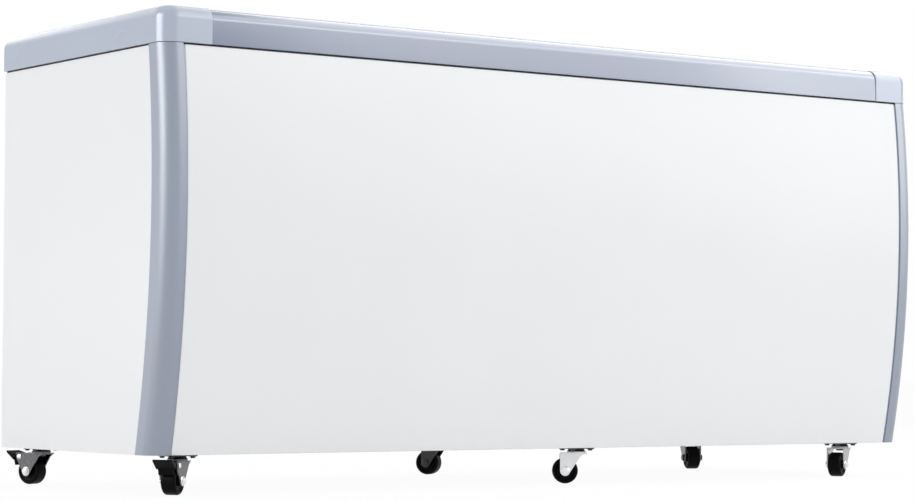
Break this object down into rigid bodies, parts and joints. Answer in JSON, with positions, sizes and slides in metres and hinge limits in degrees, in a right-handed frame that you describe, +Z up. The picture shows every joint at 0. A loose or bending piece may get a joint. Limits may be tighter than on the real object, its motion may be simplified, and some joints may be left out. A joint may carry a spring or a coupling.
{
  "type": "ice cream display freezer",
  "caption": "Long white chest freezer for ice cream with a bowed front, grey corner posts and top frame, sliding glass lids and swivel casters.",
  "frame": {"origin": "on the floor, under the middle of the cabinet's length and depth", "axes": "+X to the right-hand end seen from the front, +Y to the back, +Z up; the bowed front faces -Y"},
  "size_m": [1.804, 0.6547, 0.851],
  "materials": {
    "white_steel": "gloss",
    "grey_post": "satin",
    "grey_rail": "satin",
    "dark_strip": "matte",
    "liner_metal": "satin",
    "foam": "matte",
    "copper": "satin",
    "zinc_steel": "satin",
    "bright_zinc": "polished",
    "track_plastic": "satin",
    "lid_glass": "polished",
    "lid_frame": "satin",
    "machine_black": "satin",
    "fins": "satin",
    "fan_plastic": "satin",
    "control_plastic": "satin",
    "knob_plastic": "satin",
    "switch_plastic": "gloss",
    "black_rubber": "matte",
    "wheel_black": "satin",
    "pedal_black": "satin"
  },
  "bodies": {
    "cabinet": {"base_pan": "zinc_steel", "left_side_panel": "white_steel", "right_side_panel": "white_steel", "back_panel": "white_steel", "machine_cover": "white_steel", "front_panel": "white_steel", "left_corner_post": "grey_post", "right_corner_post": "grey_post", "left_top_cap": "grey_post", "right_top_cap": "grey_post", "front_top_rail": "grey_rail", "back_top_rail": "grey_rail", "frame_gasket": "dark_strip", "inner_liner": "liner_metal", "insulation_foam": "foam", "evaporator_coil": "copper", "front_lid_track": "track_plastic", "back_lid_track": "track_plastic", "lid_bumpers": "black_rubber", "compressor": "machine_black", "compressor_mounts": "black_rubber", "condenser": "fins", "fan_shroud": "machine_black", "fan_motor": "machine_black", "filter_drier": "copper", "refrigerant_lines": "copper", "control_panel": "control_plastic", "cord_gland": "black_rubber", "side_vent_grille": "grey_post", "panel_screws": "bright_zinc", "caster_plates": "bright_zinc", "caster_bolts": "bright_zinc"},
    "left_lid": {"left_lid_glass": "lid_glass", "left_lid_frame": "lid_frame"},
    "right_lid": {"right_lid_glass": "lid_glass", "right_lid_frame": "lid_frame"},
    "fan": {"fan_blade": "fan_plastic"},
    "knob": {"thermostat_knob": "knob_plastic"},
    "switch": {"power_switch": "switch_plastic"},
    "plug": {"drain_plug": "black_rubber"},
    "front_left_swivel": {"front_left_fork": "bright_zinc", "front_left_axle": "bright_zinc"},
    "front_left_roller": {"front_left_wheel": "wheel_black"},
    "front_middle_swivel": {"front_middle_fork": "bright_zinc", "front_middle_axle": "bright_zinc"},
    "front_middle_roller": {"front_middle_wheel": "wheel_black"},
    "front_right_swivel": {"front_right_fork": "bright_zinc", "front_right_axle": "bright_zinc"},
    "front_right_roller": {"front_right_wheel": "wheel_black"},
    "rear_left_swivel": {"rear_left_fork": "bright_zinc", "rear_left_axle": "bright_zinc"},
    "rear_left_roller": {"rear_left_wheel": "wheel_black"},
    "rear_middle_swivel": {"rear_middle_fork": "bright_zinc", "rear_middle_axle": "bright_zinc"},
    "rear_middle_roller": {"rear_middle_wheel": "wheel_black"},
    "rear_right_swivel": {"rear_right_fork": "bright_zinc", "rear_right_axle": "bright_zinc"},
    "rear_right_roller": {"rear_right_wheel": "wheel_black"},
    "front_left_pedal": {"front_left_brake": "pedal_black"},
    "rear_left_pedal": {"rear_left_brake": "pedal_black"}
  },
  "joints": [
    {"name": "left_lid_slide", "type": "slide", "parent": "cabinet", "child": "left_lid", "axis": [1, 0, 0], "range_m": [0, 0.77]},
    {"name": "right_lid_slide", "type": "slide", "parent": "cabinet", "child": "right_lid", "axis": [-1, 0, 0], "range_m": [0, 0.77]},
    {"name": "fan_spin", "type": "hinge", "parent": "cabinet", "child": "fan", "pos_m": [0.822, -0.10132, 0.1952], "axis": [1, 0, 0], "continuous": true},
    {"name": "thermostat_turn", "type": "hinge", "parent": "cabinet", "child": "knob", "pos_m": [0.716, 0.31068, 0.31], "axis": [0, 1, 0], "range_deg": [0, 270]},
    {"name": "power_rocker", "type": "hinge", "parent": "cabinet", "child": "switch", "pos_m": [0.781, 0.30768, 0.31], "axis": [-1, 0, 0], "range_deg": [0, 12]},
    {"name": "drain_plug_lift", "type": "slide", "parent": "cabinet", "child": "plug", "axis": [0, 0, 1], "range_m": [0, 0.05]},
    {"name": "front_left_swivel_turn", "type": "hinge", "parent": "cabinet", "child": "front_left_swivel", "pos_m": [-0.819, -0.22582, 0.058], "axis": [0, 0, 1], "continuous": true},
    {"name": "front_left_wheel_roll", "type": "hinge", "parent": "front_left_swivel", "child": "front_left_roller", "pos_m": [-0.83624, -0.23949, 0.025], "axis": [0.6211, -0.7837, 0], "continuous": true},
    {"name": "front_left_brake_press", "type": "hinge", "parent": "front_left_swivel", "child": "front_left_pedal", "pos_m": [-0.84878, -0.24942, 0.0525], "axis": [0.6211, -0.7837, 0], "range_deg": [0, 10]},
    {"name": "front_middle_swivel_turn", "type": "hinge", "parent": "cabinet", "child": "front_middle_swivel", "pos_m": [0.07, -0.22582, 0.058], "axis": [0, 0, 1], "continuous": true},
    {"name": "front_middle_wheel_roll", "type": "hinge", "parent": "front_middle_swivel", "child": "front_middle_roller", "pos_m": [0.05216, -0.21295, 0.025], "axis": [-0.585, -0.8111, 0], "continuous": true},
    {"name": "front_right_swivel_turn", "type": "hinge", "parent": "cabinet", "child": "front_right_swivel", "pos_m": [0.775, -0.22582, 0.058], "axis": [0, 0, 1], "continuous": true},
    {"name": "front_right_wheel_roll", "type": "hinge", "parent": "front_right_swivel", "child": "front_right_roller", "pos_m": [0.75581, -0.23659, 0.025], "axis": [0.4894, -0.8721, 0], "continuous": true},
    {"name": "rear_left_swivel_turn", "type": "hinge", "parent": "cabinet", "child": "rear_left_swivel", "pos_m": [-0.838, 0.26068, 0.058], "axis": [0, 0, 1], "continuous": true},
    {"name": "rear_left_wheel_roll", "type": "hinge", "parent": "rear_left_swivel", "child": "rear_left_roller", "pos_m": [-0.84656, 0.28095, 0.025], "axis": [-0.9212, -0.3891, 0], "continuous": true},
    {"name": "rear_left_brake_press", "type": "hinge", "parent": "rear_left_swivel", "child": "rear_left_pedal", "pos_m": [-0.85279, 0.29568, 0.0525], "axis": [-0.9212, -0.3891, 0], "range_deg": [0, 10]},
    {"name": "rear_middle_swivel_turn", "type": "hinge", "parent": "cabinet", "child": "rear_middle_swivel", "pos_m": [0.085, 0.26068, 0.058], "axis": [0, 0, 1], "continuous": true},
    {"name": "rear_middle_wheel_roll", "type": "hinge", "parent": "rear_middle_swivel", "child": "rear_middle_roller", "pos_m": [0.0727, 0.27892, 0.025], "axis": [-0.829, -0.5592, 0], "continuous": true},
    {"name": "rear_right_swivel_turn", "type": "hinge", "parent": "cabinet", "child": "rear_right_swivel", "pos_m": [0.775, 0.26068, 0.058], "axis": [0, 0, 1], "continuous": true},
    {"name": "rear_right_wheel_roll", "type": "hinge", "parent": "rear_right_swivel", "child": "rear_right_roller", "pos_m": [0.76619, 0.24052, 0.025], "axis": [0.9164, -0.4003, 0], "continuous": true}
  ]
}
